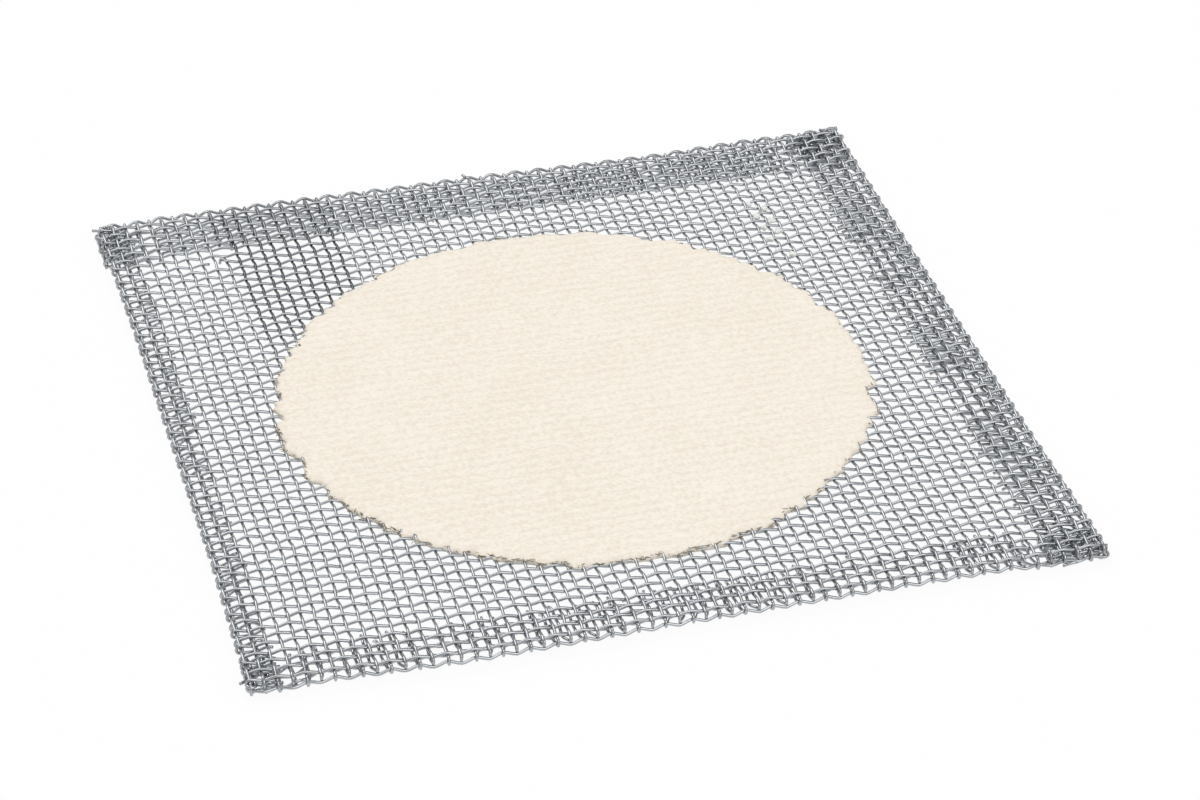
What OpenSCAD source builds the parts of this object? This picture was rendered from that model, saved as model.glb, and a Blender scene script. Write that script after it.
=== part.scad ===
// Wire gauze with a ceramic centre, as laid over a burner's tripod.
// A square of plain-woven wire cloth has its four edges folded under, left and right first,
// then front and back, so that each hem is two layers deep and each corner four. A round
// ceramic centre is pressed through the cloth. The gauze rests on its four corners.
// The weave is drawn with bars that pass over and under each other, each for five or six wires,
// with gaps between them. A hem has one row of gaps through both of its layers.
// Origin: middle of the resting plane. +X to the right, +Y to the back, +Z up. Millimetres.

/* [Cloth] */
// Length of the square's sides, over the folds
side = 160; // [130:1:190]
// Diameter of the wire, which is how far the weave reaches above and below its middle
wire_d = 0.6; // [0.4:0.05:0.7]
// Thickness of the closed cloth between the woven bars
web_t = 0.4; // [0.25:0.05:0.5]
// Spacing of the woven bars
bar_pitch = 14; // [10:0.1:16]
// Width of a bar
bar_w = 2.2; // [1.4:0.1:3.2]

/* [Hems] */
// Width of the hem on the left
hem_left = 8; // [7:0.5:15]
// Width of the hem on the right
hem_right = 11.5; // [7:0.5:15]
// Width of the hem at the front
hem_front = 11; // [7:0.5:15]
// Width of the hem at the back
hem_back = 13.5; // [7:0.5:15]
// Height from one folded layer to the next
layer_step = 0.9; // [0.75:0.05:1.2]
// Length over which the front and back flaps drop under the corner's other layers
ramp_len = 6; // [4:0.5:8]

/* [Ceramic] */
// Diameter of the ceramic centre
ceramic_d = 115; // [80:1:125]
// Thickness of the ceramic centre
ceramic_t = 2; // [1.6:0.1:4]
// Distance of the ceramic's middle from the cloth's middle, towards the front
ceramic_shift = 3; // [0:0.5:5]
// Width of the ceramic's sloping edge
edge_run = 1.2; // [0.4:0.1:3]
// Height of the ceramic's sloping edge, above and below
edge_drop = 0.4; // [0.2:0.05:0.7]

/* [Hidden] */
cloth_colour = [0.64, 0.65, 0.67];
ceramic_colour = [0.97, 0.95, 0.9];
$fn = 64;

// A fold's half circle is drawn in this many straight steps
fold_steps = 4;
// Folded stretches reach this far into the flat ones
lap = 0.5;
// Crossing bars bite into each other by this much
bite = 0.2;
bar_t = wire_d + bite / 2;
// The cloth under the ceramic is flat, has this many sides and ends this far inside its edge
wall_sides = 40;
wall_inset = 1;
// The woven bars reach this far into that flat cloth
anchor = 1;
// There every third gap each way is open, so that the ceramic keys through the cloth
key_step = 3;
// The flat cloth's ribs are narrower than the woven bars by this much on each side
rib_step = 0.1;
rib_w = bar_w - 2 * rib_step;
// Closed cloth between a fold and the gaps of its hem
fold_rib = 1.1;

// Heights: four layers lie on each other at a corner, and the lowest touches the ground
top_layer = 0;
hem_layer = 1;
inner_layer = 2;
bottom_layer = 3;
function layer_z(k) = wire_d + (bottom_layer - k) * layer_step;

// A bar stands out of the closed cloth by this much
ridge_h = wire_d - web_t / 2;
// Outer radius of the closed cloth round a fold: of two layers, or of all four
hem_r = (layer_step + web_t) / 2;
corner_r = (3 * layer_step + web_t) / 2;
// A loop that a woven bar runs into starts this far from the edge
loop_start = ridge_h + corner_r + lap;
// How far out the closed cloth is flat
flat_half = side / 2 - ridge_h - corner_r;

// The open cloth inside the hems
x_left = hem_left - side / 2;
x_right = side / 2 - hem_right;
y_front = hem_front - side / 2;
y_back = side / 2 - hem_back;

// Gaps each way between the hems
gaps_x = round((x_right - x_left) / bar_pitch);
gaps_y = round((y_back - y_front) / bar_pitch);
pitch_x = (x_right - x_left) / gaps_x;
pitch_y = (y_back - y_front) / gaps_y;

// Stations of the weave: a fold, the bars of the open cloth, and the other fold
x_stations = [-flat_half, for (i = [0 : gaps_x]) x_left + i * pitch_x, flat_half];
y_stations = [-flat_half, for (j = [0 : gaps_y]) y_front + j * pitch_y, flat_half];
x_end = len(x_stations) - 1;
y_end = len(y_stations) - 1;

// Between these the front and back flaps are not held down by a corner's other layers
low_left = x_left + bar_w / 2;
low_right = x_right - bar_w / 2;

ceramic_r = ceramic_d / 2;
wall_r = ceramic_r - wall_inset;

// Farthest corner of a gap from the ceramic's middle
function gap_reach(x, y) =
    norm([abs(x) + (pitch_x - rib_w) / 2, abs(y + ceramic_shift) + (pitch_y - rib_w) / 2]);

// Whether a bar is over the one that it crosses at a station, or outside the fold there
function outside(station, turn) = (station + turn) % 2 == 0;

function backwards(list) = [for (k = [len(list) - 1 : -1 : 0]) list[k]];

// Half circle round a fold, and a fold's section with a leg back to its start. Both are
// [outward, up] from the top of the outer face at the start.
function half_turn(leg, r, depth) =
    [for (i = [0 : fold_steps]) let (a = 180 * i / fold_steps) [leg + r * sin(a), r * cos(a) - depth]];
function fold_section(r) = concat([[0, 0]], half_turn(fold_leg(r), r, r), [[0, -2 * r]]);

// All folds reach equally far out, so a tighter one has its middle farther out
function fold_middle(r) = flat_half + corner_r - r;
function fold_leg(r) = fold_middle(r) - flat_half + lap;

// What follows is drawn for the right-hand edge, and turned to each of the others
module on_left() {
    mirror([1, 0, 0]) children();
}

module on_back() {
    mirror([1, -1, 0]) children();
}

module on_front() {
    mirror([0, 1, 0]) on_back() children();
}

// A section in X and Z, drawn out along Y
module along_y(from, to) {
    translate([0, to, 0])
        rotate([90, 0, 0])
            linear_extrude(to - from) children();
}

// A fold of the closed cloth, with layer k on its outside, along part of an edge
module fold(k, r, from, to) {
    translate([flat_half - lap, 0, layer_z(k) + web_t / 2])
        along_y(from, to) polygon(fold_section(r));
}

// A bar that goes round the outside of a fold, between hem widths from the edge
module loop(k, r, at, over, under) {
    start = side / 2 - over;
    leg = fold_middle(r) - start;
    depth = r + ridge_h;
    low = -2 * depth;
    translate([start, 0, layer_z(k) + wire_d])
        along_y(at - bar_w / 2, at + bar_w / 2)
            polygon(concat(
                [[0, 0]],
                half_turn(leg, depth, depth),
                [[over - under, low], [over - under, low + wire_d]],
                backwards(half_turn(leg, depth - wire_d, depth)),
                [[0, -wire_d]]
            ));
}

// A fold that narrows from the corner's four layers to the hem's two
module tapering_fold(from, to) {
    wide = fold_section(corner_r);
    narrow = fold_section(hem_r);
    n = len(wide);
    place = [flat_half - lap, 0, layer_z(top_layer) + web_t / 2];
    points = concat(
        [for (p = wide) place + [p[0], from, p[1]]],
        [for (p = narrow) place + [p[0], to, p[1]]]
    );
    near = [for (i = [0 : n - 1]) i];
    far = [for (i = near) 2 * n - 1 - i];
    sides = [for (i = near) [i, n + i, n + (i + 1) % n, (i + 1) % n]];
    faces = concat([near, far], sides);
    polyhedron(points, from < to ? faces : [for (f = faces) backwards(f)]);
}

// The side hem's own fold, where the back hem turns it under
module corner_turn() {
    translate([flat_half - lap, flat_half, layer_z(top_layer) + web_t / 2 - corner_r])
        mirror([1, 0, -1])
            rotate_extrude(angle = 180, $fn = 2 * fold_steps)
                polygon([for (p = fold_section(hem_r)) [corner_r + p[1], p[0]]]);
}

// A woven bar through all stations, drawn along X in the plane of X and Z
module bar(stations, turn) {
    line = [
        for (k = [0 : len(stations) - 1])
            [stations[k], outside(k, turn) ? wire_d : bar_t - wire_d]
    ];
    polygon(concat(line, backwards([for (p = line) p - [0, bar_t]])));
}

// The bars of the open cloth, over and under each other by turns
module bars() {
    for (j = [1 : y_end - 1])
        along_y(y_stations[j] - bar_w / 2, y_stations[j] + bar_w / 2) bar(x_stations, j);
    on_back()
        for (i = [1 : x_end - 1])
            along_y(x_stations[i] - bar_w / 2, x_stations[i] + bar_w / 2) bar(y_stations, i + 1);
}

// The open gaps, in plan: all that show, and the keys under the ceramic
module gaps() {
    for (i = [0 : gaps_x - 1], j = [0 : gaps_y - 1]) {
        x = x_left + (i + 0.5) * pitch_x;
        y = y_front + (j + 0.5) * pitch_y;
        shows = gap_reach(x, y) > wall_r;
        key = i % key_step == 0 && j % key_step == 0;
        if (shows || key)
            translate([x, y]) square([pitch_x - rib_w, pitch_y - rib_w], center = true);
    }
}

// The open gaps of the hems, in plan: one between every two bars, and none at the corners
module hem_gaps() {
    for (j = [0 : gaps_y - 1]) {
        y = y_front + j * pitch_y + rib_w / 2;
        field(fold_rib - flat_half, x_left - rib_w / 2, y, y + pitch_y - rib_w);
        field(x_right + rib_w / 2, flat_half - fold_rib, y, y + pitch_y - rib_w);
    }
    for (i = [0 : gaps_x - 1]) {
        x = x_left + i * pitch_x + rib_w / 2;
        field(x, x + pitch_x - rib_w, fold_rib - flat_half, y_front - rib_w / 2);
        field(x, x + pitch_x - rib_w, y_back + rib_w / 2, flat_half - fold_rib);
    }
}

// A rectangle from corner to corner, in plan
module field(x0, x1, y0, y1) {
    translate([x0, y0]) square([x1 - x0, y1 - y0]);
}

// Closed cloth at layer k, over what is drawn in plan
module closed_cloth(k) {
    translate([0, 0, layer_z(k) - web_t / 2])
        linear_extrude(web_t) children();
}

// Outline of the flat cloth inside the ceramic, or of a smaller one
module wall_outline(r) {
    translate([0, -ceramic_shift])
        polygon([for (k = [1 : wall_sides]) let (a = 360 * k / wall_sides) [r * cos(a), r * sin(a)]]);
}

// The flat cloth inside the ceramic
module inner_wall() {
    closed_cloth(top_layer)
        difference() {
            wall_outline(wall_r);
            gaps();
        }
}

// The woven bars, which end inside the ceramic
module outer_bars() {
    difference() {
        translate([0, 0, layer_z(top_layer)]) bars();
        translate([0, 0, layer_z(top_layer) - 2 * wire_d])
            linear_extrude(4 * wire_d) wall_outline(wall_r - anchor);
    }
}

// The top layer of the hems
module hem_tops() {
    closed_cloth(top_layer)
        difference() {
            square(2 * flat_half, center = true);
            field(x_left, x_right, y_front, y_back);
            hem_gaps();
        }
}

// Flaps of the left and right hems. At the corners they are turned under once more.
module side_flaps() {
    closed_cloth(hem_layer)
        difference() {
            union() {
                field(-flat_half, x_left, -flat_half, flat_half);
                field(x_right, flat_half, -flat_half, flat_half);
            }
            hem_gaps();
        }
    closed_cloth(inner_layer)
        for (y = [[-flat_half, y_front], [y_back, flat_half]]) {
            field(-flat_half, x_left, y[0], y[1]);
            field(x_right, flat_half, y[0], y[1]);
        }
}

// Front or back flap: under the side hems at its ends, up against the cloth between them
module long_flap(from, to) {
    low = layer_z(bottom_layer) - web_t / 2;
    high = layer_z(hem_layer) - web_t / 2;
    line = [
        [-flat_half, low],
        [low_left, low],
        [low_left + ramp_len, high],
        [low_right - ramp_len, high],
        [low_right, low],
        [flat_half, low]
    ];
    difference() {
        along_y(from, to) polygon(concat(line, backwards([for (p = line) p + [0, web_t]])));
        linear_extrude(layer_z(top_layer)) hem_gaps();
    }
}

// The folds of the left or right hem. Every second bar goes round the outside of the fold.
module side_folds(edge, hem) {
    fold(top_layer, hem_r, -flat_half, flat_half);
    fold(inner_layer, hem_r, -flat_half, y_front);
    fold(inner_layer, hem_r, y_back, flat_half);
    for (j = [1 : y_end - 1])
        if (outside(edge, j)) loop(top_layer, hem_r, y_stations[j], loop_start, hem);
}

// The folds of the front or back hem: round four layers at its ends and round two between.
// One bar in the middle of each corner goes round all four layers.
module long_folds(edge, hem) {
    fold(top_layer, corner_r, -flat_half, low_left);
    fold(top_layer, corner_r, low_right, flat_half);
    tapering_fold(low_left, low_left + ramp_len);
    tapering_fold(low_right, low_right - ramp_len);
    fold(top_layer, hem_r, low_left + ramp_len, low_right - ramp_len);
    for (i = [1 : x_end - 1])
        if (outside(edge, i + 1))
            loop(top_layer, i > 1 && i < x_end - 1 ? hem_r : corner_r, x_stations[i], loop_start, hem);
    for (x = [(hem_left - side) / 2, (side - hem_right) / 2])
        loop(top_layer, corner_r, x, hem, hem);
}

module wire_cloth() {
    color(cloth_colour)
    union() {
        outer_bars();
        inner_wall();
        hem_tops();
        side_flaps();
        long_flap(-flat_half, y_front);
        long_flap(y_back, flat_half);
        on_left() side_folds(0, hem_left);
        side_folds(x_end, hem_right);
        on_front() long_folds(0, hem_front);
        on_back() long_folds(y_end, hem_back);
        for (x = [0, 1], y = [0, 1])
            mirror([x, 0, 0]) mirror([0, y, 0]) corner_turn();
    }
}

// The paste is pressed through the cloth, so the cloth is cut out of it
module ceramic_centre() {
    half = ceramic_t / 2;
    color(ceramic_colour)
    difference() {
        translate([0, -ceramic_shift, layer_z(top_layer)])
            rotate_extrude()
                polygon([
                    [0, -half],
                    [ceramic_r - edge_run, -half],
                    [ceramic_r, edge_drop - half],
                    [ceramic_r, half - edge_drop],
                    [ceramic_r - edge_run, half],
                    [0, half]
                ]);
        outer_bars();
        inner_wall();
    }
}

wire_cloth();
ceramic_centre();
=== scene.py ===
"""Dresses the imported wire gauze: every wire of its folded cloth, and its pressed ceramic centre.

Lengths are written in millimetres and become metres when a mesh is made.
"""

import logging
import math
from dataclasses import dataclass, field
from enum import Enum

import bpy
import numpy as np
from bpy.types import Material, Mesh, Node, NodeOutputs, NodeSocket, NodeTree, Object
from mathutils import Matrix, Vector


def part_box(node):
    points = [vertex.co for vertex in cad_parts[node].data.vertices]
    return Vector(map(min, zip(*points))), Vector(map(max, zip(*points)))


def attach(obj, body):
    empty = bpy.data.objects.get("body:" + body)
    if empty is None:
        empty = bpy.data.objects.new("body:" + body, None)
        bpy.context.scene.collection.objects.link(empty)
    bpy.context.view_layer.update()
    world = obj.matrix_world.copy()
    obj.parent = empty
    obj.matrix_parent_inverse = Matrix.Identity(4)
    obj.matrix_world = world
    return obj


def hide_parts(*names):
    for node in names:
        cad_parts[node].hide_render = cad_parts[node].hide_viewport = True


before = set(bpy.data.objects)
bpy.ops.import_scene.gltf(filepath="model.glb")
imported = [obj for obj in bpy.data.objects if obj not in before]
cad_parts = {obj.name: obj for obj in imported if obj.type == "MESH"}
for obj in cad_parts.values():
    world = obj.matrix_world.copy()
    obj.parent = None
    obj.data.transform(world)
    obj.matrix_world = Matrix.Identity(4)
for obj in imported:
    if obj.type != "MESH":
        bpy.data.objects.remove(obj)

MM = 0.001
LOG = logging.getLogger("wire_gauze")
Array = np.ndarray
Pair = tuple[float, float]
Colour = tuple[float, float, float]

# The sockets for colours of a Mix node, whose names repeat.
COLOUR_A, COLOUR_B, MIXED = 6, 7, 2

# A random phase in radians, from nearly the whole turn.
ANY_PHASE = (0, 6)

# How the ceramic of the scene lies against the solid one.
DISC_LEFTWARD = 0.5
DISC_FORWARD = 0.7
DISC_WIDER = 0.5

# The strips of a wire's UV map, as shares of the strip's height and of the map's width.
STRIP_LOW, STRIP_HEIGHT = 0.06, 0.88
STRIP_LEFT, STRIP_WIDTH = 0.002, 0.996
CAP_LEFT, CAP_SIZE = 0.001, 0.0008


class Family(Enum):
    """The two sets of wires that are woven through each other."""

    LENGTHWISE = "lengthwise"
    CROSSWISE = "crosswise"


def deselect_all() -> None:
    """Leaves nothing selected, so that an operator acts only on what comes next."""
    bpy.ops.object.select_all(action="DESELECT")


def read_places(rows: bpy.types.bpy_prop_collection, key: str = "co") -> Array:
    """Reads where a mesh's vertices or faces are.

    Args:
        rows: The vertices or faces.
        key: What holds the place: co for a vertex, center for a face.

    Returns:
        One row of x, y, z for each, in millimetres.
    """
    places = np.empty(len(rows) * 3)
    rows.foreach_get(key, places)
    return places.reshape(-1, 3) / MM


def write_places(mesh: Mesh, places: Array) -> None:
    """Moves a mesh's vertices.

    Args:
        mesh: The mesh.
        places: One row of x, y, z for each vertex, in millimetres.
    """
    mesh.vertices.foreach_set("co", (places * MM).ravel())
    mesh.update()


def smooth_step(t: Array) -> Array:
    """Eases from 0 to 1 as t does."""
    t = np.clip(t, 0, 1)
    return t * t * (3 - 2 * t)


def node_material(name: str) -> tuple[Material, NodeTree, Node]:
    """Starts a material.

    Args:
        name: Its name.

    Returns:
        The material, its nodes and its main shader.
    """
    made = bpy.data.materials.new(name)
    made.use_nodes = True
    return made, made.node_tree, made.node_tree.nodes["Principled BSDF"]


def feed(tree: NodeTree, node: Node, inputs: dict[str | int, object]) -> None:
    """Sets a node's inputs.

    Args:
        tree: The nodes that it is one of.
        node: The node.
        inputs: What each input gets: a value or another node's output.
    """
    for key, given in inputs.items():
        if isinstance(given, NodeSocket):
            tree.links.new(given, node.inputs[key])
        else:
            node.inputs[key].default_value = given


def add(tree: NodeTree, kind: str, inputs: dict[str | int, object], **settings: object) -> NodeOutputs:
    """Adds a node.

    Args:
        tree: The nodes that it joins.
        kind: Its type, without the ShaderNode in front.
        inputs: What each input gets: a value or another node's output.
        settings: What else is set on it.

    Returns:
        Its outputs.
    """
    made = tree.nodes.new("ShaderNode" + kind)
    for name, given in settings.items():
        setattr(made, name, given)
    feed(tree, made, inputs)
    return made.outputs


def noise(tree: NodeTree, detail: float, scale: float, stretch: float = 1.0) -> NodeSocket:
    """Adds a noise in the object's own space.

    Args:
        tree: The material's nodes.
        detail: How many finer layers it has.
        scale: Its fineness, in waves to the metre.
        stretch: How much longer it is from left to right.

    Returns:
        The noise.
    """
    place = add(tree, "TexCoord", {})["Object"]
    place = add(tree, "Mapping", {"Vector": place, "Scale": (1 / stretch, 1, 1)})["Vector"]
    return add(tree, "TexNoise", {"Vector": place, "Scale": scale, "Detail": detail})["Fac"]


def ramp(tree: NodeTree, value: NodeSocket, ends: Pair, *colours: Colour) -> NodeSocket:
    """Adds a ramp from one colour to another.

    Args:
        tree: The material's nodes.
        value: What runs along it.
        ends: Where it starts and ends.
        colours: The colours at its start and end.

    Returns:
        The colour.
    """
    made = tree.nodes.new("ShaderNodeValToRGB")
    for stop, place, colour in zip(made.color_ramp.elements, ends, colours):
        stop.position = place
        stop.color = (*colour, 1)
    feed(tree, made, {"Fac": value})
    return made.outputs["Color"]


@dataclass(frozen=True)
class Hills:
    """Gentle random hills from a few crossing waves.

    The length is the typical distance from one hill to the next, and the seed says which hills.
    """

    height: float
    length: float
    seed: int
    waves: int = 7
    spread: Pair = (0.7, 1.6)

    def at(self, x: Array, y: Array) -> Array:
        """Works out how high the hills are at some places.

        Args:
            x: Places across.
            y: Places along.

        Returns:
            Heights, mostly between minus and plus the hills' height.
        """
        rng = np.random.default_rng(self.seed)
        total = np.zeros(np.broadcast(x, y).shape)
        for _ in range(self.waves):
            turn = rng.uniform(0, math.tau)
            k = math.tau / (self.length * rng.uniform(*self.spread))
            total += np.sin(k * (x * math.cos(turn) + y * math.sin(turn)) + rng.uniform(0, math.tau))
        return self.height * (total / math.sqrt(self.waves))


@dataclass(frozen=True)
class Hems:
    """Widths of the four folded edges."""

    left: float = 6.5
    right: float = 11.5
    front: float = 11.0
    back: float = 13.5


@dataclass(frozen=True)
class Stray:
    """How far each edge strays outward at its ends, quarters and middle, left to right or front to back."""

    front: tuple[float, ...] = (-0.9, 1.0, 0.2, 0.0, 0.1)
    back: tuple[float, ...] = (1.8, 1.2, 0.5, -0.7, 1.0)
    left: tuple[float, ...] = (0.0, -0.8, -0.6, -0.5, 0.1)
    right: tuple[float, ...] = (0.9, 0.3, 0.1, -0.1, 0.0)
    fade: int = 3

    def pull(self, x: Array, y: Array, half: float) -> tuple[Array, Array]:
        """Works out how a place of the cloth moves with the edges near it.

        Args:
            x: Places across.
            y: Places from front to back.
            half: Half the cloth's side.

        Returns:
            The moves across and from front to back.
        """
        posts = np.linspace(-half, half, len(self.front))
        right = np.interp(y, posts, self.right) * np.clip(x / half, 0, 1) ** self.fade
        left = np.interp(y, posts, self.left) * np.clip(-x / half, 0, 1) ** self.fade
        back = np.interp(x, posts, self.back) * np.clip(y / half, 0, 1) ** self.fade
        front = np.interp(x, posts, self.front) * np.clip(-y / half, 0, 1) ** self.fade
        return right - left, back - front


@dataclass
class FoldedCloth:
    """Where each point of the flat cloth lies once its hems are folded under."""

    half: float
    middle_z: float
    wire: float = 0.6
    pitch: float = 2.5
    layer: float = 0.9
    hems: Hems = field(default_factory=Hems)
    stray: Stray = field(default_factory=Stray)
    drift_across: tuple[Hills, ...] = (Hills(0.22, 38, 11), Hills(0.07, 9, 12))
    drift_along: tuple[Hills, ...] = (Hills(0.22, 42, 13), Hills(0.07, 8, 14))
    sag: Hills = Hills(0.10, 55, 15)
    slip_along: Hills = Hills(0.9, 27, 16)
    slip_across: Hills = Hills(0.9, 27, 17)
    slip_line: float = 40.0
    slip_ramp: float = 3.0
    calm_gap: float = 1.0
    calm_ramp: float = 6.0
    corner_layers: int = 4
    shoulder: float = 1.0
    ramp: float = 7.0
    loose_turn: float = 0.66
    side_turn: float = 0.78
    settle: float = 5.0
    first_lengthwise: float = 1.1
    first_crosswise: float = -0.4

    def __post_init__(self) -> None:
        """Works out the folds and the reach of the flat cloth."""
        self.corner_turn = (self.corner_layers - 1) / 2 * self.layer
        self.reach = self.half - self.wire
        sides = math.pi * self.side_turn + 2 * (self.reach - self.side_turn) - self.half
        ends = math.pi * self.loose_turn + 2 * (self.reach - self.loose_turn) - self.half
        self.left = sides + self.hems.left
        self.right = sides + self.hems.right
        self.front = ends + self.hems.front
        self.back = ends + self.hems.back

    def turn(self, t: Array, h: Array, r: Array) -> tuple[Array, Array]:
        """Carries a stretch of cloth round a fold at both of its ends.

        Args:
            t: Place along the flat cloth, from its middle.
            h: Height above the top layer's middle.
            r: Radius of the fold, at the top layer's middle.

        Returns:
            The place and the height after the fold. A loose fold's flap comes up again beyond it.
        """
        edge = self.reach - r
        s = np.abs(t) - edge
        angle = np.clip(s / r, 0, math.pi)
        beyond = np.maximum(s - math.pi * r, 0)
        out = edge + np.minimum(s, 0) + (r + h) * np.sin(angle) - beyond
        share = smooth_step(beyond / self.settle)
        lift = np.where(r < self.layer, (2 * r - self.layer) * share, 0)
        return np.sign(t) * out, (r + h) * np.cos(angle) - r + lift

    def long_radius(self, x: Array) -> Array:
        """Radius of the front and back folds: large round a corner's four layers, small between.

        Args:
            x: Place across the folded cloth.

        Returns:
            The radius there.
        """
        start = np.where(x < 0, self.half - self.hems.left, self.half - self.hems.right) - self.shoulder
        share = smooth_step((start - np.abs(x)) / self.ramp)
        return self.corner_turn + (self.loose_turn - self.corner_turn) * share

    def place(self, u: Array, v: Array, w: Array) -> Array:
        """Folds points of the flat cloth.

        Args:
            u: Place across.
            v: Place from front to back.
            w: Height above the cloth's own middle.

        Returns:
            One row of x, y, z for each point.
        """
        calm = self.calm(u) * self.calm(v)
        du = sum(hills.at(u, v) for hills in self.drift_across)
        dv = sum(hills.at(u, v) for hills in self.drift_along)
        v = v + self.slip_along.at(np.sign(u) * self.slip_line, v) * self.folded(u)
        x, h = self.turn(u + du * calm, w, np.full_like(u, self.side_turn))
        x = x + self.slip_across.at(x, np.sign(v) * self.slip_line) * self.folded(v)
        y, z = self.turn(v + dv * calm, h, self.long_radius(x))
        sag = self.sag.at(x, y) * calm
        dx, dy = self.stray.pull(x, y, self.half)
        low = np.maximum(z + sag + self.middle_z, self.wire / 2)
        return np.stack([x + dx, y + dy, low], axis=-1)

    def calm(self, t: Array) -> Array:
        """How freely the cloth drifts: 1 in the open cloth and 0 at a fold."""
        return np.clip((self.reach - self.calm_gap - np.abs(t)) / self.calm_ramp, 0, 1)

    def folded(self, t: Array) -> Array:
        """How far a place is under a fold: 0 in the open cloth and 1 on the flap."""
        return smooth_step((np.abs(t) - self.reach - self.loose_turn) / self.slip_ramp)


@dataclass
class TubeSet:
    """Many round wires gathered into one mesh."""

    name: str
    sides: int = 8
    askew: tuple[float, float, float] = (0.31, 0.27, 0.91)
    verts: list[Array] = field(default_factory=list)
    faces: list[Array] = field(default_factory=list)
    caps: list[list[int]] = field(default_factory=list)
    runs: list[Array] = field(default_factory=list)
    tones: list[Array] = field(default_factory=list)
    count: int = 0

    def add(self, path: Array, radius: float, tone: Array | float = 1.0) -> None:
        """Adds one wire with closed ends.

        Args:
            path: Its middle line, one row of x, y, z for each point.
            radius: Its radius.
            tone: Its tone at each point: 0 darkened, 1 plain.
        """
        self.tones.append(np.repeat(np.broadcast_to(tone, len(path)), self.sides))
        n = len(path)
        tangent = np.gradient(path, axis=0)
        tangent /= np.linalg.norm(tangent, axis=1)[:, None]
        guide = np.cross(tangent[0], self.askew)
        normals = np.empty_like(path)
        for k in range(n):
            guide = guide - tangent[k] * (guide @ tangent[k])
            guide = guide / math.sqrt(guide @ guide)
            normals[k] = guide
        side = np.cross(tangent, normals)
        angles = math.tau * np.arange(self.sides) / self.sides
        ring = normals[:, None] * np.cos(angles)[:, None] + side[:, None] * np.sin(angles)[:, None]
        self.verts.append((path[:, None] + radius * ring).reshape(-1, 3))
        here = self.count + self.sides * np.arange(n - 1)[:, None]
        s = np.arange(self.sides)[None, :]
        t = (s + 1) % self.sides
        quads = np.stack([here + s, here + t, here + self.sides + t, here + self.sides + s], axis=-1)
        self.faces.append(quads.reshape(-1, 4))
        last = self.count + self.sides * (n - 1)
        self.caps.append([self.count + i for i in range(self.sides)][::-1])
        self.caps.append([last + i for i in range(self.sides)])
        steps = np.linalg.norm(np.diff(path, axis=0), axis=1)
        self.runs.append(np.concatenate([[0.0], np.cumsum(steps)]))
        self.count += self.sides * n

    def build(self) -> Object:
        """Makes the mesh, with a strip of the map for each wire.

        Returns:
            The new piece.
        """
        mesh = bpy.data.meshes.new(self.name)
        faces = np.concatenate(self.faces).tolist() + self.caps
        mesh.from_pydata((np.concatenate(self.verts) * MM).tolist(), [], faces)
        strips = mesh.uv_layers.new(name="OFBake")
        strips.data.foreach_set("uv", self.unrolled().astype(np.float32).ravel())
        tones = mesh.attributes.new("tone", "FLOAT", "POINT")
        tones.data.foreach_set("value", np.concatenate(self.tones).astype(np.float32))
        mesh.shade_smooth()
        mesh.update()
        piece = bpy.data.objects.new(self.name, mesh)
        bpy.context.scene.collection.objects.link(piece)
        return piece

    def unrolled(self) -> Array:
        """Lays each wire's side in a strip of its own and its two ends beside the strip.

        Returns:
            The place on the map of each corner of each face, in order.
        """
        longest = max(run[-1] for run in self.runs)
        rows = []
        s = np.arange(self.sides)
        for index, run in enumerate(self.runs):
            step = STRIP_HEIGHT / len(self.runs) / self.sides
            u = (STRIP_LEFT + STRIP_WIDTH * run / longest)[:, None]
            low = (index + STRIP_LOW) / len(self.runs) + s * step
            low, left, right = np.broadcast_arrays(low, u[:-1], u[1:])
            high = low + step
            corners = np.stack([left, low, left, high, right, high, right, low], axis=-1)
            rows.append(corners.reshape(-1, 2))
        turn = math.tau * s / self.sides
        cap = CAP_SIZE * np.stack([np.cos(turn), np.sin(turn)], axis=-1)
        for index in range(len(self.caps)):
            rows.append([CAP_LEFT, (index // 2 + 0.5) / len(self.runs)] + cap)
        return np.concatenate(rows)


@dataclass(frozen=True)
class SlackArea:
    """Where the crosswise wires lie nearly straight: along the left side and along the back."""

    left_start: float = -36.0
    left_ramp: float = 14.0
    front_share: float = 0.5
    front_end: float = -25.0
    front_ramp: float = 40.0
    back_start: float = 44.0
    back_ramp: float = 10.0
    slant_start: float = 45.0
    slant: float = 0.6

    def share(self, u: Array, v: Array) -> Array:
        """How far the weave is of that kind.

        Args:
            u: Places across the flat cloth.
            v: Places from front to back.

        Returns:
            0 at the right and middle, 1 at the left and back, between them at the front left.
        """
        side = smooth_step((v - self.front_end) / self.front_ramp)
        left = smooth_step((self.left_start - u) / self.left_ramp)
        left = left * (self.front_share + (1 - self.front_share) * side)
        slanted = v - self.back_start + self.slant * np.maximum(u - self.slant_start, 0)
        return np.maximum(left, smooth_step(slanted / self.back_ramp))


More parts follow.
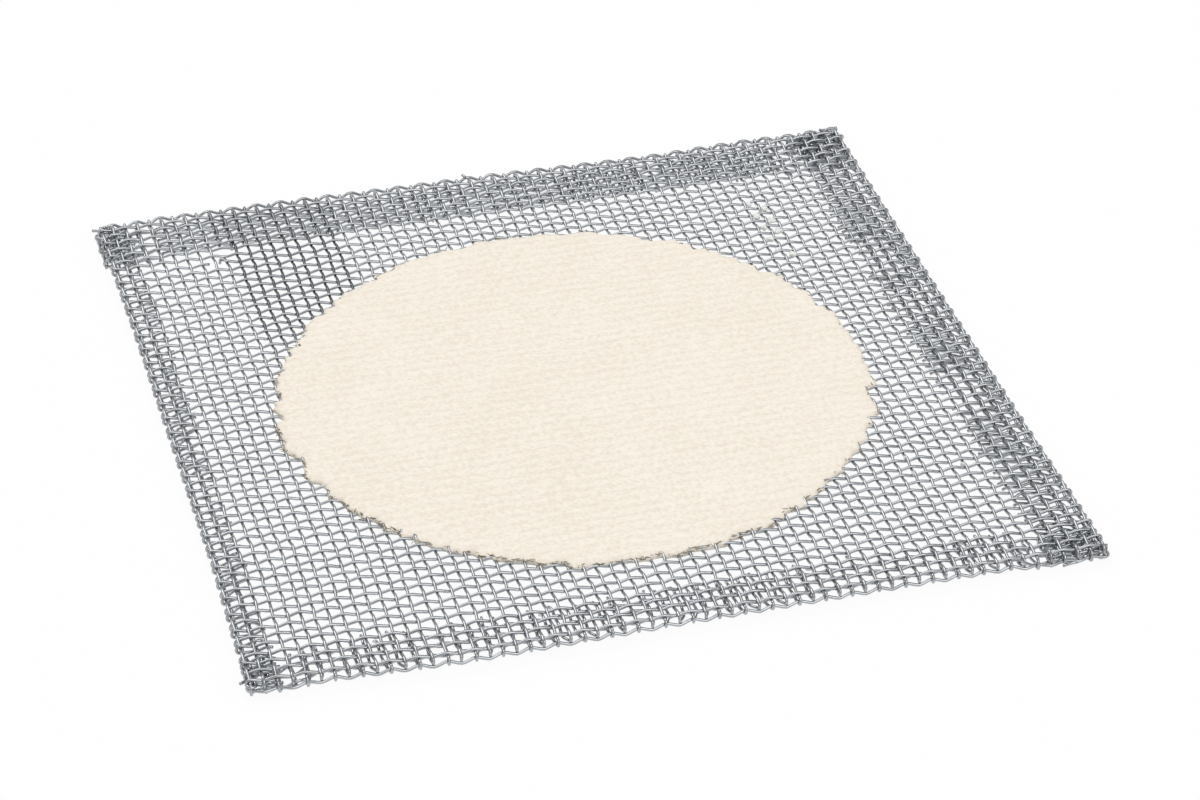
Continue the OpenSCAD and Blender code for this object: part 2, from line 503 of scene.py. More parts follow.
@dataclass(frozen=True)
class DarkenedPatch:
    """The patch at the back left whose wires are darker, the crosswise ones less than the lengthwise ones.
    """

    left: float = -57.5
    right: float = -32.2
    front: float = 6.0
    side_ramp: float = 1.0
    front_ramp: float = 34.0
    slant: float = 0.04
    slant_from: float = 75.0
    fold_gap: float = 1.0
    fold_ramp: float = 2.0
    hem_start: float = 64.0
    hem_ramp: float = 4.0
    hem_loss: float = 0.35
    crosswise: float = 0.25

    def tone(self, family: Family, u: Array, v: Array, reach: float) -> Array:
        """Tone of a wire along its way.

        Args:
            family: Which way it runs.
            u: Places across the flat cloth.
            v: Places from front to back.
            reach: How far the folded cloth's own middle reaches.

        Returns:
            0 darkened, 1 plain.
        """
        darkened = smooth_step((u - self.left - self.slant * (self.slant_from - v)) / self.side_ramp)
        darkened = darkened * smooth_step((self.right - u) / self.side_ramp)
        ends = smooth_step((v - self.front) / self.front_ramp)
        darkened = darkened * ends * smooth_step((reach + self.fold_gap - v) / self.fold_ramp)
        darkened = darkened * (1 - self.hem_loss * smooth_step((v - self.hem_start) / self.hem_ramp))
        return 1 - darkened * (self.crosswise if family is Family.CROSSWISE else 1.0)


@dataclass
class WireCloth:
    """The woven cloth: every wire, crimped over and under the others and folded at the hems.

    A lost stretch is its wire's family and place, and where the wire stops and goes on.
    """

    cloth: FoldedCloth
    disc_x: float
    disc_y: float
    disc_r: float
    crimp_lengthwise: float = 0.31
    crimp_crosswise: float = 0.27
    crimp_spread: float = 0.10
    crimp_most: float = 0.68
    shifted_crimp: float = -0.06
    flatness: float = 0.75
    fold_place: float = 0.4
    fold_width: float = 2.6
    fold_front: float = 0.25
    edge_bulge: float = 1.3
    edge_calm: float = 1.0
    edge_drop: float = 0.1
    edge_gap: float = 0.35
    steps: int = 4
    least_step: float = 0.1
    arc_points: int = 11
    arc_spare: float = 0.1
    hidden_margin: float = 3.5
    wander: float = 0.07
    sway: float = 0.05
    sway_length: float = 7.0
    cut_long: float = 0.6
    cut_short: float = 0.3
    hook_reach: float = 1.6
    hook_points: tuple[float, ...] = (0.4, 0.8, 1.2)
    hook_lift: Pair = (-0.25, 0.75)
    hook_aside: float = 0.5
    hook_power: float = 1.5
    seed: int = 5
    slack: SlackArea = SlackArea()
    patch: DarkenedPatch = DarkenedPatch()
    lost: tuple[tuple[Family, float, float, float], ...] = (
        (Family.LENGTHWISE, -56.4, 60.8, 69.4),
        (Family.CROSSWISE, 59.6, -60.2, -57.6),
    )

    def __post_init__(self) -> None:
        """Starts the random draws, always the same."""
        self.rng = np.random.default_rng(self.seed)

    def stations(self, low: float, high: float, first: float) -> Array:
        """Numbers of the wires across a stretch of flat cloth.

        Args:
            low: Where the cloth starts.
            high: Where it ends.
            first: Place of wire number 0.

        Returns:
            A whole number for each wire.
        """
        pitch = self.cloth.pitch
        spare = self.edge_gap * pitch
        return np.arange(math.ceil((low + spare - first) / pitch), (high - spare - first) // pitch + 1)

    def wave(self, t: Array) -> Array:
        """The crimp of a wire: up over one crossing wire and down under the next.

        Args:
            t: Place along the wire, in pitches, with a crossing at each whole number.

        Returns:
            1 over an even crossing, -1 under an odd one, halfway between a zigzag and a cosine.
        """
        straight = 2 * np.abs(2 * (t / 2 - np.floor(t / 2 + 0.5))) - 1
        return (np.cos(math.pi * t) - straight) / 2

    def samples(self, low: float, high: float, at: float, family: Family) -> Array:
        """Places along one wire where its path is worked out.

        Args:
            low: Where the wire starts on the flat cloth.
            high: Where it ends.
            at: The wire's own place across the cloth.
            family: Which way it runs.

        Returns:
            Rising places, closer in the folds and sparser inside the ceramic.
        """
        cloth = self.cloth
        lengthwise = family is Family.LENGTHWISE
        first = cloth.first_crosswise if lengthwise else cloth.first_lengthwise
        step = cloth.pitch / self.steps
        number = np.arange(math.ceil((low - first) / step), math.floor((high - first) / step) + 1)
        every = first + step * number
        x, y = (at, every) if lengthwise else (every, at)
        away = np.hypot(x - self.disc_x, y - self.disc_y)
        every = every[(away > self.disc_r - self.hidden_margin) | (number % self.steps == 0)]
        bends = []
        for r in (cloth.loose_turn, cloth.corner_turn) if lengthwise else (cloth.side_turn,):
            share = np.linspace(-self.arc_spare, 1 + self.arc_spare, self.arc_points)
            arc = cloth.reach - r + share * math.pi * r
            bends += [arc, -arc]
        hook = np.array(self.hook_points) * self.hook_reach
        every = np.concatenate([[low, high], every, *bends, low + hook, high - hook])
        every = np.unique(np.round(every[(every >= low) & (every <= high)], 4))
        return every[np.concatenate([[True], np.diff(every) > self.least_step])]

    def path(self, family: Family, number: int, at: float, low: float, high: float) -> tuple[Array, Array]:
        """Middle line of one wire of the folded cloth.

        Args:
            family: Which way it runs.
            number: Its number, which sets whether it starts over or under.
            at: Its place across the flat cloth.
            low: Where it starts.
            high: Where it ends.

        Returns:
            One row of x, y, z for each point, and the finish at each.
        """
        cloth, rng = self.cloth, self.rng
        along = self.samples(low, high, at, family)
        lengthwise = family is Family.LENGTHWISE
        first = cloth.first_crosswise if lengthwise else cloth.first_lengthwise
        u, v = (at, along) if lengthwise else (along, at)
        slack = self.slack.share(u, v)
        shift = self.shifted_crimp * slack
        edge = smooth_step(1 - np.abs(np.abs(v) - cloth.reach - self.fold_place) / self.fold_width)
        edge = edge * np.where(v > 0, 1, self.fold_front)
        t = (along - first) / cloth.pitch
        waves = self.wave(t)
        if lengthwise:
            crimp = (self.crimp_lengthwise - shift) * (1 - self.edge_calm * edge)
            drop = self.edge_drop * edge
        else:
            crimp = (self.crimp_crosswise + shift) * (1 + self.edge_bulge * edge)
            crimp = np.minimum(crimp, self.crimp_most)
            drop = 0.0
            flat_topped = np.sin(math.pi / 2 * np.cos(math.pi * t))
            waves = waves + self.flatness * slack * (flat_topped - waves)
        sign = 1 if (number % 2 == 0) == lengthwise else -1
        lift = sign * crimp * waves * (1 + self.crimp_spread * rng.standard_normal()) - drop
        across = at + self.wander * rng.standard_normal()
        across = across + self.sway * np.sin(along / self.sway_length + rng.uniform(*ANY_PHASE))
        for end in (low, high):
            near = np.clip(1 - np.abs(along - end) / self.hook_reach, 0, 1) ** self.hook_power
            lift = lift + near * rng.uniform(*self.hook_lift)
            across = across + near * rng.uniform(-self.hook_aside, self.hook_aside)
        tone = self.patch.tone(family, u, v, cloth.reach)
        u, v = (across, along) if lengthwise else (along, across)
        return cloth.place(u, v, lift), tone

    def build(self) -> list[Object]:
        """Makes all wires, in four pieces.

        Returns:
            The pieces.
        """
        cloth, rng = self.cloth, self.rng
        radius = cloth.wire / 2
        wide, long = (-cloth.left, cloth.right), (-cloth.front, cloth.back)
        pieces = []
        for family, sides, first, (start, end), (low, high) in (
            (Family.LENGTHWISE, ("left", "right"), cloth.first_lengthwise, wide, long),
            (Family.CROSSWISE, ("front", "back"), cloth.first_crosswise, long, wide),
        ):
            halves = [TubeSet(f"{family.value}_wires_{side}") for side in sides]
            for number in self.stations(start, end, first):
                at = first + number * cloth.pitch
                near = low + rng.uniform(-self.cut_long, self.cut_short)
                far = high + rng.uniform(-self.cut_short, self.cut_long)
                stretches = [(near, far)]
                for lost_family, place, start_gap, end_gap in self.lost:
                    if family is lost_family and abs(at - place) < 0.5 * cloth.pitch:
                        stretches = [(near, start_gap), (end_gap, far)]
                for stretch in stretches:
                    path, tone = self.path(family, int(number), at, *stretch)
                    halves[at > 0].add(path, radius, tone)
            pieces += [half.build() for half in halves]
        return pieces


@dataclass
class LooseEnds:
    """Wire ends that have sprung out of the folds: hooks, burrs and small loops at the corners.

    A hook is x, y, z of its start, its heading in degrees and its length. A loop is x, y, z of its middle
    and its radius.
    """

    cloth: FoldedCloth
    hooks: tuple[tuple[float, ...], ...] = (
        (74.0, -79.8, 1.5, 178.0, 2.8),
        (-2.0, 79.9, 3.5, 105.0, 1.0),
        (79.3, 78.9, 3.2, 62.0, 0.9),
        (76.6, 78.5, 3.4, 128.0, 1.2),
        (-79.2, 78.4, 3.5, 150.0, 1.8),
        (-79.0, -75.6, 2.2, 205.0, 1.6),
        (79.3, -77.0, 2.4, -28.0, 1.5),
        (-57.9, 60.1, 3.3, 75.0, 1.5),
        (-56.0, 69.2, 3.2, -120.0, 1.4),
    )
    loops: tuple[tuple[float, ...], ...] = (
        (74.2, 78.6, 2.7, 1.2),
        (77.0, 78.5, 2.9, 1.1),
        (78.9, 76.4, 2.9, 1.0),
        (-78.6, 76.0, 3.4, 0.8),
        (-78.0, 79.6, 3.3, 0.75),
        (78.8, -78.2, 2.2, 0.8),
        (-78.6, -77.6, 2.4, 0.8),
    )
    hook_points: int = 7
    hook_slope: float = 0.1
    hook_bend: float = 0.4
    hook_rise: float = 0.2
    loop_points: int = 14
    loop_turn: float = 1.7 * math.pi
    loop_rise: float = 0.25
    top_room: float = 1.6
    seed: int = 61

    def build(self) -> Object:
        """Makes all ends, as one piece.

        Returns:
            The new piece.
        """
        rng = np.random.default_rng(self.seed)
        paths = []
        t = np.linspace(0, 1, self.hook_points)[:, None]
        for x, y, z, heading, length in self.hooks:
            a = math.radians(heading)
            way = np.array([math.cos(a), math.sin(a), rng.uniform(-self.hook_slope, self.hook_slope)])
            aside = np.array([-way[1], way[0], self.hook_rise])
            aside = aside * rng.uniform(-self.hook_bend, self.hook_bend)
            paths.append(np.array([x, y, z]) + length * (t * way + t * t * aside))
        for x, y, z, size in self.loops:
            turn = np.linspace(0, self.loop_turn, self.loop_points) + rng.uniform(*ANY_PHASE)
            curl = [x + size * np.cos(turn), y + size * np.sin(turn), z + self.loop_rise * np.sin(turn / 2)]
            paths.append(np.stack(curl, axis=-1))
        ends = TubeSet("loose_wire_ends")
        radius = self.cloth.wire / 2
        # Every end stays off the table and under the cake's top.
        top = self.cloth.middle_z + self.top_room * self.cloth.wire - radius
        for path in paths:
            path[:, 2] = np.clip(path[:, 2], radius, top)
            ends.add(path, radius)
        return ends.build()


@dataclass(frozen=True)
class DrawnSteel:
    """Drawn steel wire, darkened or plain, as its pieces' tone says."""

    plain: Colour = (0.438, 0.453, 0.472)
    stain: Colour = (0.37, 0.382, 0.397)
    darkened: Colour = (0.12, 0.13, 0.14)
    stain_ends: Pair = (0.34, 0.56)
    grain: float = 260.0
    detail: float = 4.0
    roughest: float = 0.32
    smoothest: float = 0.14

    def material(self) -> Material:
        """Makes the wire's finish.

        Returns:
            A metal with slightly uneven colour and polish.
        """
        made, tree, shader = node_material("drawn_steel_wire")
        grain = noise(tree, self.detail, self.grain)
        plain = ramp(tree, grain, self.stain_ends, self.stain, self.plain)
        tone = add(tree, "Attribute", {}, attribute_name="tone")["Fac"]
        tints = {"Factor": tone, COLOUR_A: (*self.darkened, 1), COLOUR_B: plain}
        polish = {"Value": grain, "To Min": self.roughest, "To Max": self.smoothest}
        tint = add(tree, "Mix", tints, data_type="RGBA")[MIXED]
        rough = add(tree, "MapRange", polish)["Result"]
        feed(tree, shader, {"Base Color": tint, "Metallic": 1.0, "Roughness": rough})
        return made


@dataclass(frozen=True)
class FibrePaste:
    """Unglazed cream ceramic fibre paste, its dark fibres and its dried crumbs.

    The grain and the bump are a fineness and how much longer they are from left to right.
    """

    light: Colour = (0.975, 0.91, 0.805)
    shade: Colour = (0.868, 0.782, 0.665)
    shade_ends: Pair = (0.36, 0.60)
    speck: Colour = (0.36, 0.29, 0.22)
    speck_ends: Pair = (0.765, 0.80)
    speck_scale: float = 780.0
    roughness: float = 0.95
    shine: float = 0.2
    detail: float = 5.0
    grain: Pair = (1500.0, 1.2)
    grain_weight: float = 0.76
    cloud_scale: float = 60.0
    cloud_weight: float = 0.16
    # Painted shade of the weave's pressed rows: colour bands a pitch apart that stand in for the shading of
    # the rows.
    row: float = 2.5
    painted_row_shade_weight: float = 0.08
    painted_row_shade_bend: float = 2.2
    painted_row_shade_detail: Pair = (3.0, 1.6)
    bump: Pair = (1100.0, 1.6)
    bump_strength: float = 0.6
    bump_height: float = 0.18
    mottle_ends: Pair = (0.4, 0.6)
    mottle_roughness: float = 0.9

    def material(self) -> Material:
        """Makes the paste's finish.

        Returns:
            A matt material with faint mottling, painted shade in broken bands along the weave's pressed
            rows, rare specks and a fibrous bump.
        """
        made, tree, shader = node_material("ceramic_fibre_paste")
        detail, fineness = self.painted_row_shade_detail
        bands = {
            "Vector": add(tree, "TexCoord", {})["Object"],
            "Scale": math.pi / 10 / (self.row * MM),
            "Distortion": self.painted_row_shade_bend,
            "Detail": detail,
            "Detail Scale": fineness,
        }
        blend = 0.0
        for layer, weight in (
            (noise(tree, self.detail, *self.grain), self.grain_weight),
            (noise(tree, self.detail, self.cloud_scale), self.cloud_weight),
            # Painted shade: wavy colour bands along the pressed rows, mixed into the mottling.
            (add(tree, "TexWave", bands, bands_direction="Y")["Fac"], self.painted_row_shade_weight),
        ):
            blend = add(tree, "Math", {0: layer, 1: weight, 2: blend}, operation="MULTIPLY_ADD")[0]
        start, end = self.speck_ends
        rare = {"Value": noise(tree, self.detail, self.speck_scale), "From Min": start, "From Max": end}
        tints = {
            "Factor": add(tree, "MapRange", rare)["Result"],
            COLOUR_A: ramp(tree, blend, self.shade_ends, self.shade, self.light),
            COLOUR_B: (*self.speck, 1),
        }
        bump = {
            "Height": noise(tree, self.detail, *self.bump),
            "Strength": self.bump_strength,
            "Distance": self.bump_height * MM,
        }
        finish = {
            "Base Color": add(tree, "Mix", tints, data_type="RGBA")[MIXED],
            "Roughness": self.roughness,
            "Specular IOR Level": self.shine,
            "Normal": add(tree, "Bump", bump)["Normal"],
        }
        feed(tree, shader, finish)
        return made

    def mottled(self, name: str, dark: Colour, light: Colour, scale: float) -> Material:
        """Makes a plain matt material of two tones.

        Args:
            name: Its name.
            dark: Its darker tone.
            light: Its lighter tone.
            scale: Fineness of the mottling, in waves to the metre.

        Returns:
            The material.
        """
        made, tree, shader = node_material(name)
        tint = ramp(tree, noise(tree, self.detail, scale), self.mottle_ends, dark, light)
        feed(tree, shader, {"Base Color": tint, "Roughness": self.mottle_roughness})
        return made

    def fibre_material(self) -> Material:
        """Makes the finish of the rim's fibres, from brown to grey."""
        return self.mottled("rim_fibre", (0.20, 0.165, 0.125), (0.46, 0.42, 0.35), 150.0)

    def crumb_material(self) -> Material:
        """Makes the finish of the dried crumbs, a greyed cream."""
        return self.mottled("dried_paste", (0.76, 0.76, 0.73), (0.95, 0.95, 0.92), 700.0)


@dataclass
class CeramicCentre:
    """The round cake of paste, whose edge creeps along the wires and fills the meshes unevenly."""

    cloth: FoldedCloth
    centre_x: float
    centre_y: float
    radius: float
    low: float
    high: float
    cell: float = 0.625
    spill: float = 2.5
    edge_inset: float = 0.6
    creep: float = 0.5
    creep_power: int = 8
    whim: float = 0.5
    sway: Hills = Hills(0.3, 7, 33)
    trim_step: float = 0.35
    trim_rounds: int = 2
    rim_height: float = 0.30
    rim_width: float = 2.6
    rim_power: float = 2.4
    crown_gap: float = 0.12
    far: float = 9.0
    print_across: float = 0.014
    print_along: float = 0.012
    print_least: float = 0.7
    print_change: Hills = Hills(0.6, 20, 34)
    swells: tuple[Hills, ...] = (Hills(0.045, 15, 31), Hills(0.007, 2.6, 32))

    def spare(self, x: Array, y: Array) -> Array:
        """How far a place is inside the paste's edge.

        Args:
            x: Places across.
            y: Places along.

        Returns:
            Distances, negative outside.
        """
        cloth = self.cloth
        i = (x - cloth.first_lengthwise) / cloth.pitch
        j = (y - cloth.first_crosswise) / cloth.pitch
        power = self.creep_power
        creep = np.maximum(np.cos(math.pi * i) ** power, np.cos(math.pi * j) ** power)
        i, j = np.floor(i), np.floor(j)
        # Uneven factors, so that each mesh of the cloth gets a number of its own from -1 to 1.
        whim = np.sin(i * 12.9898 + j * 78.233) * np.cos(i * 39.425 - j * 11.135)
        mesh_x = cloth.first_lengthwise + (i + 0.5) * cloth.pitch
        mesh_y = cloth.first_crosswise + (j + 0.5) * cloth.pitch
        away = np.hypot(x - self.centre_x, y - self.centre_y)
        mesh_away = np.hypot(mesh_x - self.centre_x, mesh_y - self.centre_y)
        reach = self.radius - self.edge_inset + self.creep * creep + self.whim * whim + self.sway.at(x, y)
        return reach - away / 2 - mesh_away / 2

    def build(self) -> Object:
        """Makes the cake: a fine grid cut to its edge, thickened and pressed.

        Returns:
            The new piece.
        """
        count = round(2 * (self.radius + self.spill) / self.cell)
        deselect_all()
        side = count * self.cell * MM
        bpy.ops.mesh.primitive_grid_add(x_subdivisions=count, y_subdivisions=count, size=side)
        cake = bpy.context.active_object
        cake.name = "pressed_ceramic"
        mesh = cake.data
        write_places(mesh, read_places(mesh.vertices) + [self.centre_x, self.centre_y, 0])
        middles = read_places(mesh.polygons, "center")
        bpy.ops.object.mode_set(mode="EDIT")
        bpy.ops.mesh.select_all(action="DESELECT")
        bpy.ops.object.mode_set(mode="OBJECT")
        mesh.polygons.foreach_set("select", self.spare(middles[:, 0], middles[:, 1]) < 0)
        bpy.ops.object.mode_set(mode="EDIT")
        bpy.ops.mesh.delete(type="FACE")
        bpy.ops.mesh.select_all(action="SELECT")
        bpy.ops.mesh.extrude_region_move(TRANSFORM_OT_translate={"value": (0, 0, -MM)})
        bpy.ops.mesh.select_all(action="SELECT")
        bpy.ops.mesh.normals_make_consistent(inside=False)
        bpy.ops.object.mode_set(mode="OBJECT")
        self.press(mesh)
        bpy.ops.object.shade_smooth()
        return cake

    def press(self, mesh: Mesh) -> None:
        """Gives the cake its faces, its thin ragged edge and the print of the weave.

        Args:
            mesh: The flat cake, whose upper face is at height 0 and lower one below.
        """
        places = read_places(mesh.vertices)
        edges = np.empty(len(mesh.edges) * 2, int)
        mesh.edges.foreach_get("vertices", edges)
        edges = edges.reshape(-1, 2)
        upper = places[:, 2] > -0.5
        wall = upper[edges[:, 0]] != upper[edges[:, 1]]
        rim = np.zeros(len(places), bool)
        rim[edges[wall].ravel()] = True
        self.trim(places, edges[~wall], rim)
        x, y = places[:, 0], places[:, 1]
        middle, pitch = self.cloth.middle_z, self.cloth.pitch
        rise = np.clip(self.depth_inside(places, rim) / self.rim_width, 0, 1)
        rise = 1 - (1 - rise) ** self.rim_power
        rows = self.print_across * np.cos(math.tau * (y - self.cloth.first_crosswise) / pitch)
        rows *= self.print_least + self.print_change.at(x, y)
        rows += self.print_along * np.cos(math.tau * (x - self.cloth.first_lengthwise) / pitch)
        uneven = sum(hills.at(x, y) for hills in self.swells)
        top = middle + self.rim_height + (self.high - self.crown_gap - middle - self.rim_height) * rise
        bottom = middle - self.rim_height - (middle - self.rim_height - self.low - self.crown_gap) * rise
        places[:, 2] = np.where(upper, top, bottom) + (rows + uneven) * rise * np.where(upper, 1, -1)
        write_places(mesh, places)

    def trim(self, places: Array, flat: Array, rim: Array) -> None:
        """Moves the rim's vertices on to the paste's edge and takes the steps out of it.

        Args:
            places: All vertices, changed here.
            flat: The edges that lie in the upper or lower face.
            rim: Which vertices are on the rim.
        """
        both = flat[rim[flat[:, 0]] & rim[flat[:, 1]]]
        step = self.trim_step
        for _ in range(self.trim_rounds):
            x, y = places[rim, 0], places[rim, 1]
            out = np.stack([x - self.centre_x, y - self.centre_y], axis=-1)
            out /= np.linalg.norm(out, axis=1)[:, None]
            places[rim, :2] += np.clip(self.spare(x, y), -step, step)[:, None] * out
            total = np.zeros((len(places), 2))
            count = np.zeros(len(places))
            for a, b in ((0, 1), (1, 0)):
                np.add.at(total, both[:, a], places[both[:, b], :2])
                np.add.at(count, both[:, a], 1)
            moved = rim & (count > 0)
            mean = total[moved] / count[moved, None]
            places[moved, :2] = (1 - step) * places[moved, :2] + step * mean

    def depth_inside(self, places: Array, rim: Array) -> Array:
        """Distance of each vertex from the nearest of the rim, worked out near the rim only.

        Args:
            places: The vertices.
            rim: Which of them are on the rim.

        Returns:
            The distances.
        """
        edge = places[rim, :2]
        nearest = np.full(len(places), self.far)
        away = np.hypot(places[:, 0] - self.centre_x, places[:, 1] - self.centre_y)
        for k in np.nonzero(away > self.radius - self.far)[0]:
            nearest[k] = np.sqrt(((edge - places[k, :2]) ** 2).sum(1).min())
        return nearest


@dataclass
class RimFibres:
    """Short brownish fibres and burrs along the paste's edge, most of them at the front and left.

    The front's middle and spread are in degrees. Most fibres lie along the edge and the others point
    outward. They gather in bunches: by so many radians, so many times round.
    """

    ceramic: CeramicCentre
    count: int = 420
    sides: int = 5
    points: int = 4
    front_share: float = 0.74
    front_middle: float = -112.0
    front_spread: float = 42.0
    gather: Pair = (0.05, 11.0)
    depth: float = 0.22
    along_share: float = 0.7
    along_spread: float = 0.35
    across_spread: float = 0.8
    slope: float = 0.12
    bend: float = 0.3
    along_length: Pair = (0.4, 1.3)
    across_length: Pair = (0.3, 0.9)
    height: Pair = (0.30, 0.62)
    thickness: Pair = (0.05, 0.11)
    top_gap: float = 0.05
    search: float = 2.5
    search_points: int = 41
    seed: int = 41

    def build(self) -> Object:
        """Makes all fibres, as one piece.

        Returns:
            The new piece.
        """
        rng = np.random.default_rng(self.seed)
        cake = self.ceramic
        fibres = TubeSet("rim_fibres", sides=self.sides)
        t = np.linspace(0, 1, self.points)[:, None]
        for number in range(self.count):
            front = number < self.front_share * self.count
            a = rng.normal(self.front_middle, self.front_spread) if front else rng.uniform(-180, 180)
            a = math.radians(a)
            a += self.gather[0] * math.sin(self.gather[1] * a)
            edge = self.edge(a) - abs(rng.normal(0, self.depth))
            along = rng.random() < self.along_share
            if along:
                heading = a + rng.choice([-1, 1]) * (math.pi / 2 + rng.normal(0, self.along_spread))
            else:
                heading = a + rng.normal(0, self.across_spread)
            way = np.array([math.cos(heading), math.sin(heading), rng.normal(0.0, self.slope)])
            bend = np.array([-way[1], way[0], 0]) * rng.normal(0, self.bend)
            length = rng.uniform(*(self.along_length if along else self.across_length))
            z = cake.cloth.middle_z + rng.uniform(*self.height)
            start = np.array([cake.centre_x + edge * math.cos(a), cake.centre_y + edge * math.sin(a), z])
            path = start + length * (t * way + t * t * bend)
            path[:, 2] = np.minimum(path[:, 2], cake.high - self.top_gap)
            fibres.add(path, rng.uniform(*self.thickness))
        return fibres.build()

    def edge(self, a: float) -> float:
        """Distance of the paste's edge from its middle.

        Args:
            a: Direction, in radians.

        Returns:
            The distance.
        """
        r = self.ceramic.radius + np.linspace(self.search, -self.search, self.search_points)
        x = self.ceramic.centre_x + r * math.cos(a)
        y = self.ceramic.centre_y + r * math.sin(a)
        return float(r[np.argmax(self.ceramic.spare(x, y) > 0)])


@dataclass
class PasteCrumbs:
    """Paste that has dried in a few meshes outside the cake. A spot is x, y and the crumb's size."""

    cloth: FoldedCloth
    spots: tuple[tuple[float, ...], ...] = (
        (51.9, 53.6, 0.6),
        (54.7, 51.3, 0.8),
        (52.1, 48.8, 0.9),
        (54.5, 46.3, 1.0),
        (52.4, 44.1, 0.8),
        (54.8, 41.8, 0.9),
        (52.4, 39.3, 0.8),
        (52.7, 34.8, 0.7),
        (55.2, 32.5, 0.9),
        (53.4, -42.5, 0.4),
        (53.3, -47.9, 0.5),
        (63.5, -47.2, 0.5),
    )
    shape: tuple[float, float, float] = (0.9, 1.0, 0.42)
    swell: Hills = Hills(0.22, 1.6, 52)
    wander: float = 0.2
    rise: float = 0.22
    seed: int = 51

    def build(self) -> list[Object]:
        """Makes one flat lump in each of the meshes.

        Returns:
            The pieces.
        """
        rng = np.random.default_rng(self.seed)
        pieces = []
        for number, (x, y, size) in enumerate(self.spots):
            deselect_all()
            bpy.ops.mesh.primitive_ico_sphere_add(subdivisions=3, radius=MM)
            lump = bpy.context.active_object
            lump.name = f"paste_crumb_{number + 1}"
            points = read_places(lump.data.vertices)
            swell = 1 + self.swell.at(points[:, 0] + number, points[:, 1])
            wide, long, thick = self.shape
            points *= swell[:, None] * [wide * size, long * size, thick]
            dx, dy = rng.uniform(-self.wander, self.wander, 2)
            middle = [x + dx, y + dy, self.cloth.middle_z + self.rise]
            write_places(lump.data, points + middle)
            bpy.ops.object.shade_smooth()
            pieces.append(lump)
        return pieces


@dataclass(frozen=True)
class Glow:
    """A round soft-edged bright part of the room, seen from the object."""

    azimuth: float
    elevation: float
    radius: float
    edge: float
    strength: float

    def direction(self) -> Vector:
        """Which way it lies, with azimuth 0 at the back and 90 at the right."""
        a, e = math.radians(self.azimuth), math.radians(self.elevation)
        return Vector((math.sin(a) * math.cos(e), math.cos(a) * math.cos(e), math.sin(e)))


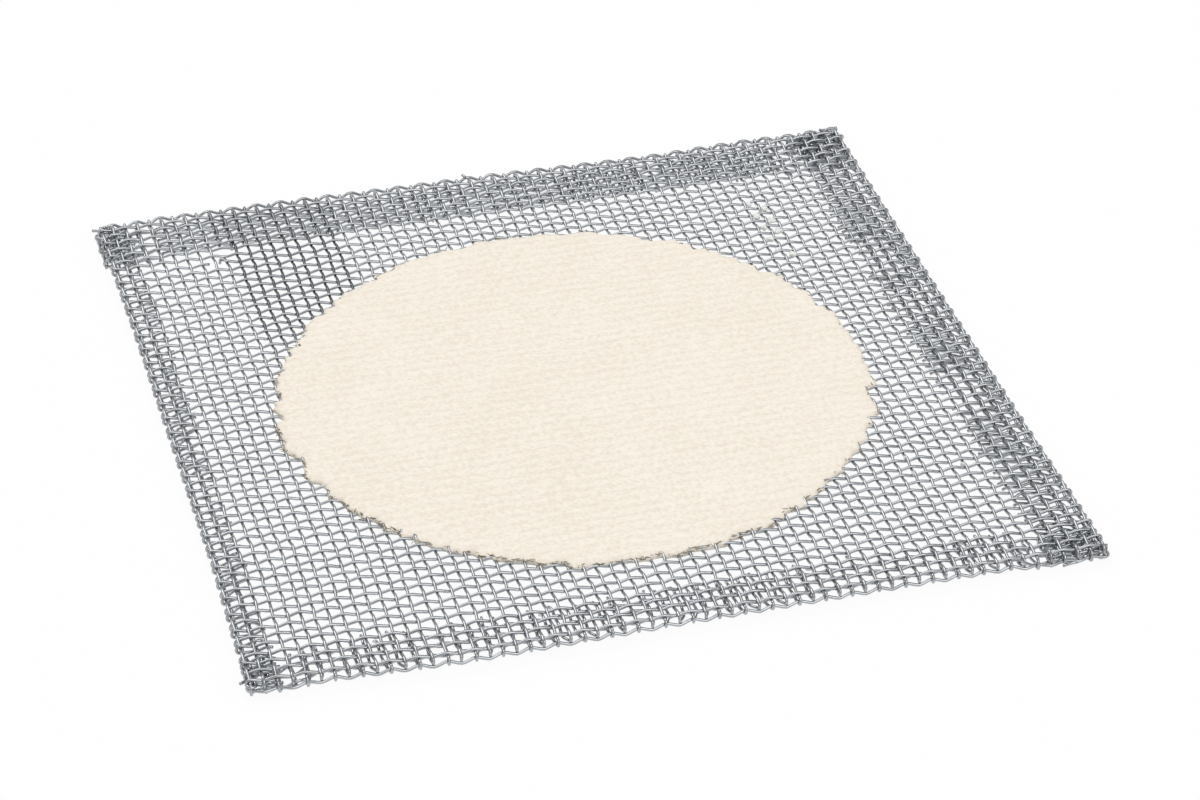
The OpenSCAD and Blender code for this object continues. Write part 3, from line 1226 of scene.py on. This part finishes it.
@dataclass(frozen=True)
class Studio:
    """Floor, soft light and camera."""

    lens: float = 122.3
    azimuth: float = -15.22
    elevation: float = 33.76
    distance: float = 784.3
    target: tuple[float, float, float] = (3.30, -8.25, 3.3)
    sensor: float = 36.0
    floor_side: float = 6000.0
    floor_colour: Colour = (0.95, 0.95, 0.95)
    floor_seen: float = 0.94
    ambient: float = 0.66
    glows: tuple[Glow, ...] = (
        Glow(azimuth=-25, elevation=54, radius=22, edge=8, strength=2.8),
        Glow(azimuth=153, elevation=48, radius=19, edge=16, strength=2.7),
    )

    def build(self) -> None:
        """Makes the whole studio."""
        self.floor()
        self.room()
        self.camera()
        bpy.context.scene.view_settings.view_transform = "Standard"

    def floor(self) -> None:
        """Lays the plain white floor, which keeps a faint shadow.

        The camera and the metal both see it nearly white, while it passes on light as a matt floor does.
        """
        deselect_all()
        bpy.ops.mesh.primitive_plane_add(size=self.floor_side * MM)
        floor = bpy.context.active_object
        floor.name = "floor"
        made, tree, _ = node_material("pale_floor")
        tree.nodes.clear()
        path = add(tree, "LightPath", {})
        rays = {0: path["Is Glossy Ray"], 1: path["Is Transmission Ray"]}
        mirrored = add(tree, "Math", rays, operation="MAXIMUM")[0]
        seen = add(tree, "Math", {0: path["Is Camera Ray"], 1: mirrored}, operation="MAXIMUM")[0]
        share = add(tree, "Math", {0: seen, 1: self.floor_seen}, operation="MULTIPLY")[0]
        matt = add(tree, "BsdfDiffuse", {"Color": (*self.floor_colour, 1)})["BSDF"]
        white = add(tree, "Emission", {"Color": (1, 1, 1, 1)})["Emission"]
        surface = add(tree, "MixShader", {"Fac": share, 1: matt, 2: white})["Shader"]
        add(tree, "OutputMaterial", {"Surface": surface})
        floor.data.materials.append(made)

    def room(self) -> None:
        """Lights the room with two large soft glows on an even dim ground."""
        world = bpy.data.worlds.new("studio_room")
        bpy.context.scene.world = world
        world.use_nodes = True
        tree = world.node_tree
        tree.nodes.clear()
        place = add(tree, "TexCoord", {})["Generated"]
        total = None
        for glow in self.glows:
            way = {0: place, 1: glow.direction()}
            base = self.ambient if total is None else 0.0
            level = {
                "Value": add(tree, "VectorMath", way, operation="DOT_PRODUCT")["Value"],
                "From Min": math.cos(math.radians(glow.radius + glow.edge / 2)),
                "From Max": math.cos(math.radians(glow.radius - glow.edge / 2)),
                "To Min": base,
                "To Max": glow.strength + base,
            }
            lit = add(tree, "MapRange", level, interpolation_type="SMOOTHSTEP")["Result"]
            total = lit if total is None else add(tree, "Math", {0: total, 1: lit}, operation="ADD")[0]
        back = add(tree, "Background", {"Strength": total})["Background"]
        add(tree, "OutputWorld", {"Surface": back})

    def camera(self) -> None:
        """Sets up the camera."""
        a, e = math.radians(self.azimuth), math.radians(self.elevation)
        back = Vector((math.sin(a) * math.cos(e), -math.cos(a) * math.cos(e), math.sin(e)))
        bpy.ops.object.camera_add(location=(Vector(self.target) + back * self.distance) * MM)
        camera = bpy.context.active_object
        camera.name = "camera"
        camera.rotation_mode = "QUATERNION"
        camera.rotation_quaternion = (-back).to_track_quat("-Z", "Y")
        camera.data.lens = self.lens
        camera.data.sensor_width = self.sensor
        camera.data.clip_start = 10 * MM
        bpy.context.scene.camera = camera


def dress(piece: Object, made: Material, node: str, stands_in: bool) -> None:
    """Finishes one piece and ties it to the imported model.

    Args:
        piece: The new piece.
        made: Its material.
        node: The node that it belongs to.
        stands_in: Whether it is shown in place of that node.
    """
    piece.data.materials.append(made)
    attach(piece, "root")
    if stands_in:
        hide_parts(node)
    LOG.info("%s: %d faces", piece.name, len(piece.data.polygons))


def main() -> None:
    """Builds the gauze and its studio, and reports each piece."""
    logging.basicConfig(level=logging.INFO, format="%(name)s: %(message)s")
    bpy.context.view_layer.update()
    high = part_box("wire_cloth")[1]
    disc_low, disc_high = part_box("ceramic_centre")
    cloth = FoldedCloth(half=high.x / MM, middle_z=high.z / MM - FoldedCloth.wire)
    disc_x = (disc_low.x + disc_high.x) / 2 / MM - DISC_LEFTWARD
    disc_y = (disc_low.y + disc_high.y) / 2 / MM - DISC_FORWARD
    disc_r = (disc_high.x - disc_low.x) / 2 / MM + DISC_WIDER
    steel = DrawnSteel().material()
    for piece in WireCloth(cloth, disc_x, disc_y, disc_r).build():
        dress(piece, steel, "wire_cloth", True)
    dress(LooseEnds(cloth).build(), steel, "wire_cloth", False)
    paste = FibrePaste()
    ceramic = CeramicCentre(cloth, disc_x, disc_y, disc_r, disc_low.z / MM, disc_high.z / MM)
    dress(ceramic.build(), paste.material(), "ceramic_centre", True)
    dress(RimFibres(ceramic).build(), paste.fibre_material(), "ceramic_centre", False)
    crumbs = paste.crumb_material()
    for piece in PasteCrumbs(cloth).build():
        dress(piece, crumbs, "ceramic_centre", False)
    Studio().build()


if __name__ == "__main__":
    main()
